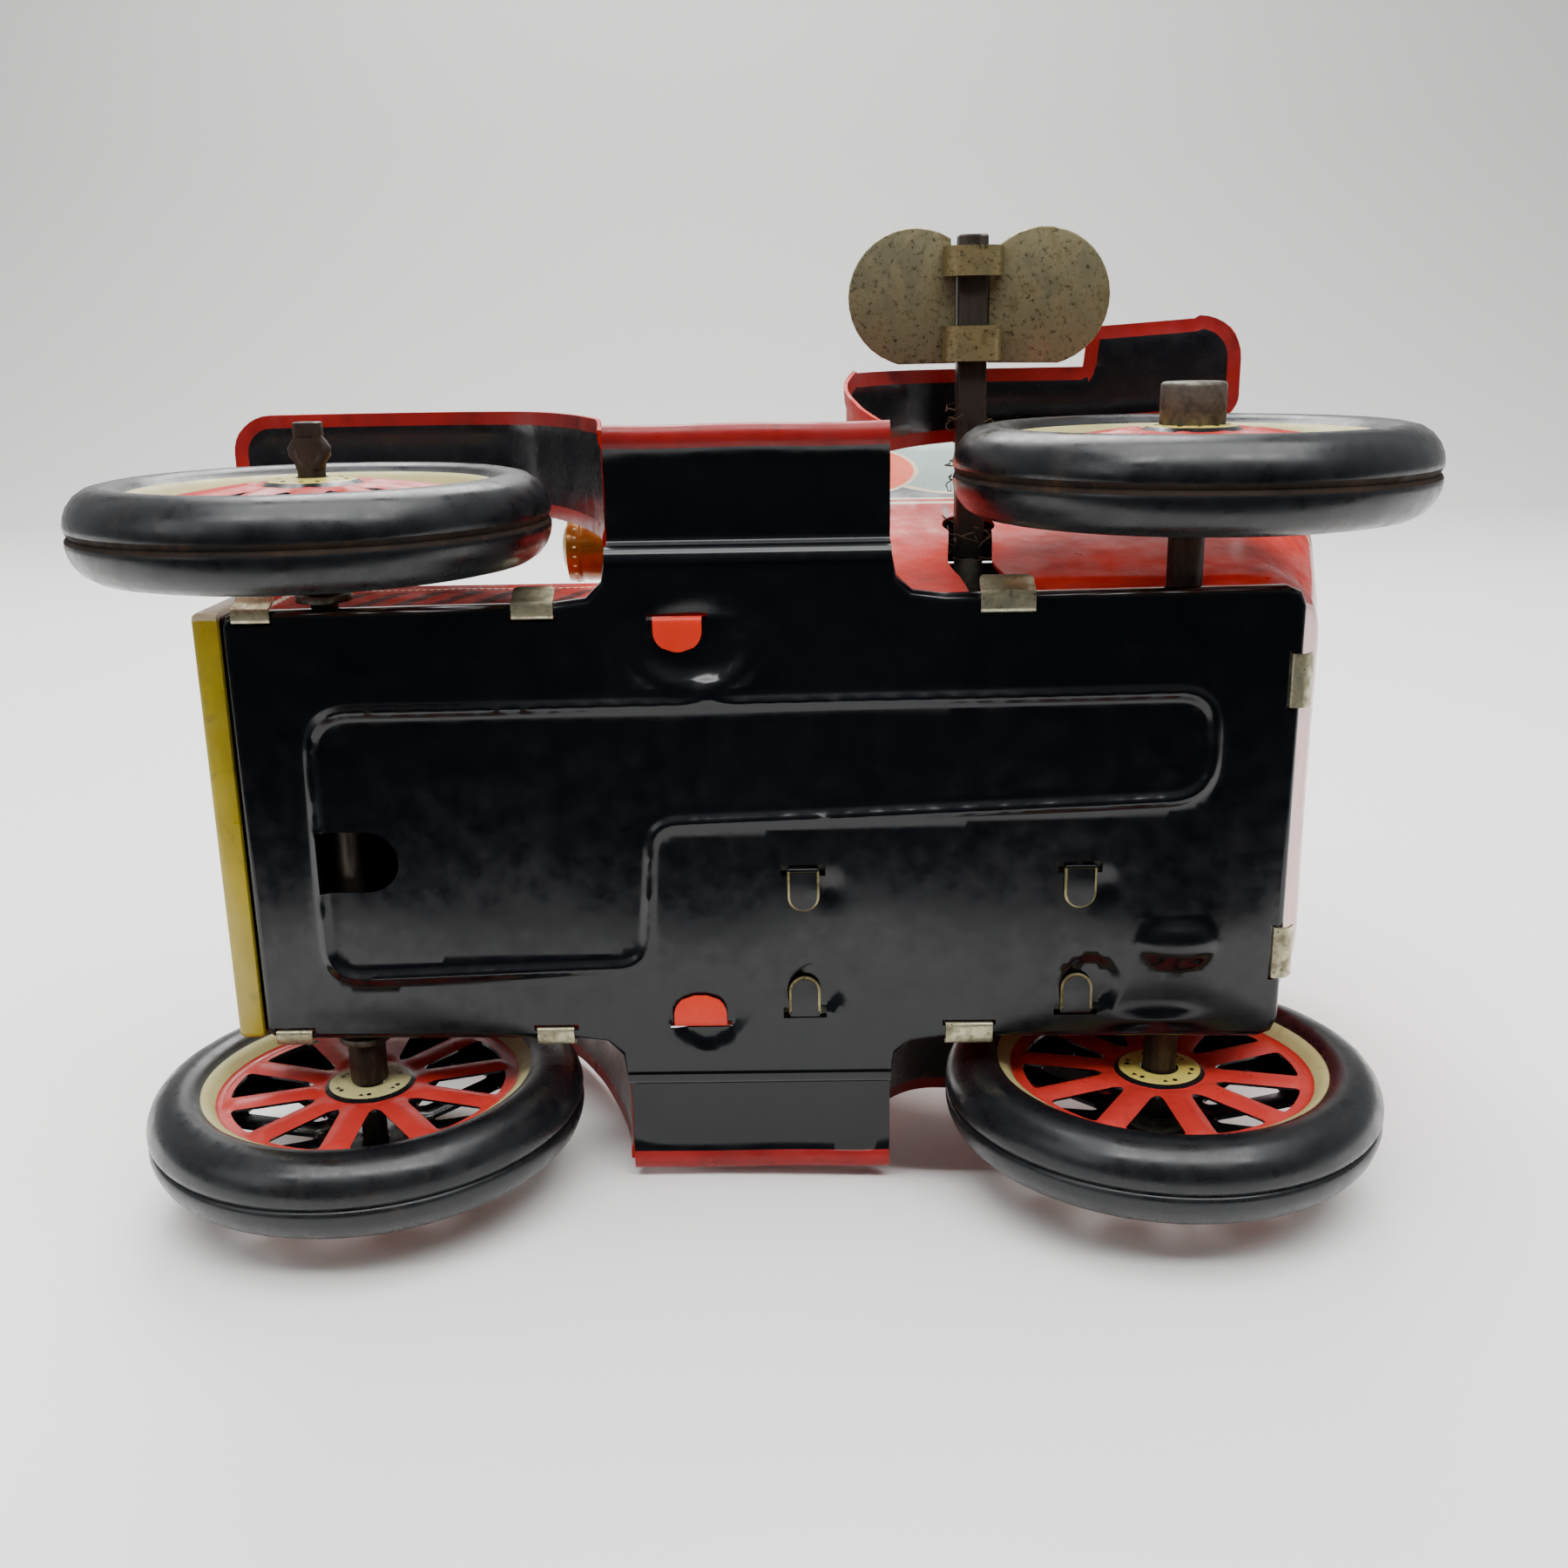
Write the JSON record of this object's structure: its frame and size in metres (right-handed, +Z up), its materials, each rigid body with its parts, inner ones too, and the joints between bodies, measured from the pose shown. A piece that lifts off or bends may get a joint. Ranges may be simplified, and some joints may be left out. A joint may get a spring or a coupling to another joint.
{
  "type": "wind-up tin toy car",
  "caption": "Vintage open touring car in lithographed tinplate, wound by a key, with pierced spoke wheels, strip mudguards and running boards",
  "frame": {"origin": "on the underside of the floor pan, midway along it and on the car's centre line", "axes": "+X to the front of the car, +Y to its left side, where the key is, +Z up"},
  "size_m": [0.1564, 0.1248, 0.0955],
  "materials": {
    "black_enamel": "gloss",
    "red_litho": "gloss",
    "yellow_enamel": "satin",
    "amber_lacquer": "gloss",
    "lens_enamel": "gloss",
    "seat_enamel": "satin",
    "wheel_red": "gloss",
    "key_brass": "tarnished",
    "gear_brass": "satin",
    "motor_steel": "satin",
    "axle_steel": "dull"
  },
  "bodies": {
    "car": {"floor_pan": "black_enamel", "front_fender_left": "black_enamel", "front_fender_right": "black_enamel", "rear_fender_left": "black_enamel", "rear_fender_right": "black_enamel", "body_shell": "red_litho", "hood": "red_litho", "radiator": "yellow_enamel", "radiator_cap": "key_brass", "dashboard": "red_litho", "lamp_shell_left": "amber_lacquer", "lamp_shell_right": "amber_lacquer", "lamp_lens_left": "lens_enamel", "lamp_lens_right": "lens_enamel", "front_floor": "red_litho", "rear_floor": "red_litho", "front_seat": "seat_enamel", "rear_seat": "seat_enamel", "steering_column": "key_brass", "steering_wheel": "black_enamel", "motor_plate_left": "motor_steel", "motor_plate_right": "motor_steel", "motor_pillar_front": "motor_steel", "motor_pillar_rear": "motor_steel", "motor_pillar_top": "motor_steel", "motor_pillar_spring": "motor_steel", "mainspring": "motor_steel", "front_axle": "axle_steel", "axle_sleeve_left": "axle_steel", "axle_washer_left": "axle_steel", "axle_sleeve_right": "axle_steel", "axle_washer_right": "axle_steel"},
    "winding": {"winding_arbor": "axle_steel", "winding_key": "key_brass", "great_wheel": "gear_brass", "ratchet_wheel": "motor_steel", "click": "motor_steel"},
    "second_shaft": {"second_arbor": "axle_steel", "second_pinion": "axle_steel", "second_wheel": "gear_brass"},
    "rear_wheels": {"rear_axle": "axle_steel", "axle_pinion": "axle_steel", "hub_cap_left": "axle_steel", "hub_cap_right": "axle_steel", "rear_wheel_left_outer": "wheel_red", "rear_wheel_left_inner": "wheel_red", "rear_wheel_right_outer": "wheel_red", "rear_wheel_right_inner": "wheel_red"},
    "front_wheel_l": {"front_wheel_left_outer": "wheel_red", "front_wheel_left_inner": "wheel_red"},
    "front_wheel_r": {"front_wheel_right_outer": "wheel_red", "front_wheel_right_inner": "wheel_red"}
  },
  "joints": [
    {"name": "rear_axle_spin", "type": "hinge", "parent": "car", "child": "rear_wheels", "pos_m": [-0.0479, 0, 0.0038], "axis": [0, 1, 0], "continuous": true},
    {"name": "second_shaft_spin", "type": "hinge", "parent": "car", "child": "second_shaft", "pos_m": [-0.04068, 0, 0.0205], "axis": [0, 1, 0], "continuous": true},
    {"name": "winding_spin", "type": "hinge", "parent": "car", "child": "winding", "pos_m": [-0.0266, 0, 0.034], "axis": [0, 1, 0], "continuous": true},
    {"name": "front_wheel_left_spin", "type": "hinge", "parent": "car", "child": "front_wheel_l", "pos_m": [0.0501, 0.0357, 0.0038], "axis": [0, 1, 0], "continuous": true},
    {"name": "front_wheel_right_spin", "type": "hinge", "parent": "car", "child": "front_wheel_r", "pos_m": [0.0501, -0.0363, 0.0038], "axis": [0, 1, 0], "continuous": true}
  ],
  "couplings": [
    {"joint": "second_shaft_spin", "follows": "rear_axle_spin", "ratio": -0.27273},
    {"joint": "winding_spin", "follows": "rear_axle_spin", "ratio": 0.068182}
  ]
}
